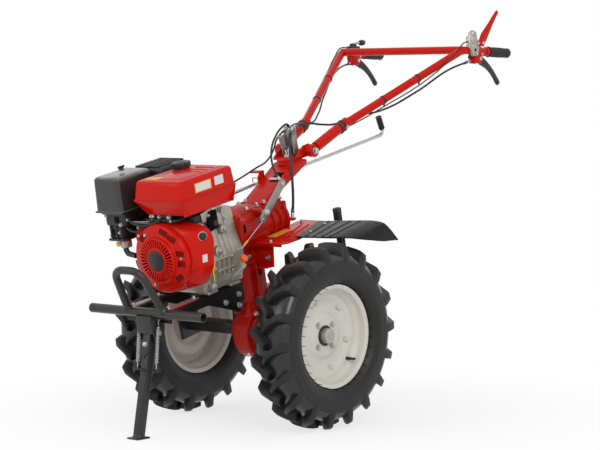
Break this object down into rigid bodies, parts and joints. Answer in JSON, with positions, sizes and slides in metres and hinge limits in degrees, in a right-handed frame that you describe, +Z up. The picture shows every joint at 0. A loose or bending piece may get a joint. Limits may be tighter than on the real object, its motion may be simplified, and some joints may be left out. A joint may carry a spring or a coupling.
{
  "type": "two-wheel garden tiller",
  "caption": "Two-wheel garden tiller: petrol engine on a bed ahead of an upright gearbox, lugged wheels, front bumper with folding stand, swivelling handlebar.",
  "frame": {"origin": "on the ground below the middle of the whole machine", "axes": "+X forward, +Y to the machine's left, +Z up; parked on its wheels and front stand, nose down"},
  "size_m": [1.6273, 0.804, 1.3655],
  "materials": {
    "red_paint": "gloss enamel",
    "red_cast": "gloss enamel over casting",
    "black_paint": "satin powder coat",
    "grey_tube": "satin powder coat",
    "cast_alloy": "as cast",
    "black_plastic": "moulded",
    "lid_plastic": "moulded, lighter",
    "orange_plastic": "moulded",
    "zinc": "zinc plated",
    "rim_paint": "off-white enamel",
    "tyre": "black rubber",
    "rubber": "moulded rubber",
    "soot_steel": "heat-proof black"
  },
  "bodies": {
    "chassis": {"gearbox": "red_cast", "clutch_housing": "red_cast", "mast": "red_paint", "engine_bed": "black_paint", "bumper": "grey_tube", "crankcase": "cast_alloy", "cylinder": "cast_alloy", "blower_housing": "red_paint", "recoil_starter": "red_paint", "fuel_tank": "red_paint", "fuel_cap": "black_plastic", "air_filter": "black_plastic", "filter_lid": "lid_plastic", "carburettor": "black_plastic", "muffler": "soot_steel", "muffler_shield": "soot_steel", "dipstick": "orange_plastic", "fender_bracket": "red_paint", "left_fender": "black_paint", "right_fender": "black_paint", "hitch": "black_paint", "depth_stake": "black_paint", "gear_rod": "zinc", "gear_knob": "rubber", "clutch_lever": "zinc", "release_wire": "zinc", "gearbox_cable": "rubber", "engine_cable": "rubber", "lever_cable": "rubber", "stand_springs": "zinc"},
    "left_wheel": {"left_tyre": "tyre", "left_rim": "rim_paint", "left_hub": "black_paint"},
    "right_wheel": {"right_tyre": "tyre", "right_rim": "rim_paint", "right_hub": "black_paint"},
    "stand": {"stand_leg": "grey_tube"},
    "bracket": {"swivel_bracket": "red_paint", "clamp_handle": "zinc"},
    "bars": {"handlebar": "red_paint", "left_grip": "rubber", "right_grip": "rubber", "squeeze_levers": "black_plastic", "switch_bracket": "zinc", "stop_lever": "red_paint", "throttle_lever": "black_plastic", "left_bar_cable": "rubber", "right_bar_cable": "rubber"}
  },
  "joints": [
    {"name": "left_wheel_spin", "type": "hinge", "parent": "chassis", "child": "left_wheel", "pos_m": [0.208, 0.3, 0.3], "axis": [0, 1, 0], "continuous": true},
    {"name": "right_wheel_spin", "type": "hinge", "parent": "chassis", "child": "right_wheel", "pos_m": [0.208, -0.3, 0.3], "axis": [0, 1, 0], "continuous": true},
    {"name": "stand_fold", "type": "hinge", "parent": "chassis", "child": "stand", "pos_m": [0.68652, 0, 0.32915], "axis": [0, 1, 0], "range_deg": [0, 80], "deforming": ["stand_springs"]},
    {"name": "handlebar_swivel", "type": "hinge", "parent": "chassis", "child": "bracket", "pos_m": [0.03129, 0, 0.85384], "axis": [0.2079, 0, 0.9781], "range_deg": [-30, 30], "deforming": ["gearbox_cable", "engine_cable", "lever_cable"]},
    {"name": "handlebar_tilt", "type": "hinge", "parent": "bracket", "child": "bars", "pos_m": [-0.0062, 0, 0.8843], "axis": [0, 1, 0], "range_deg": [-8, 15], "deforming": ["left_bar_cable", "right_bar_cable"]}
  ]
}
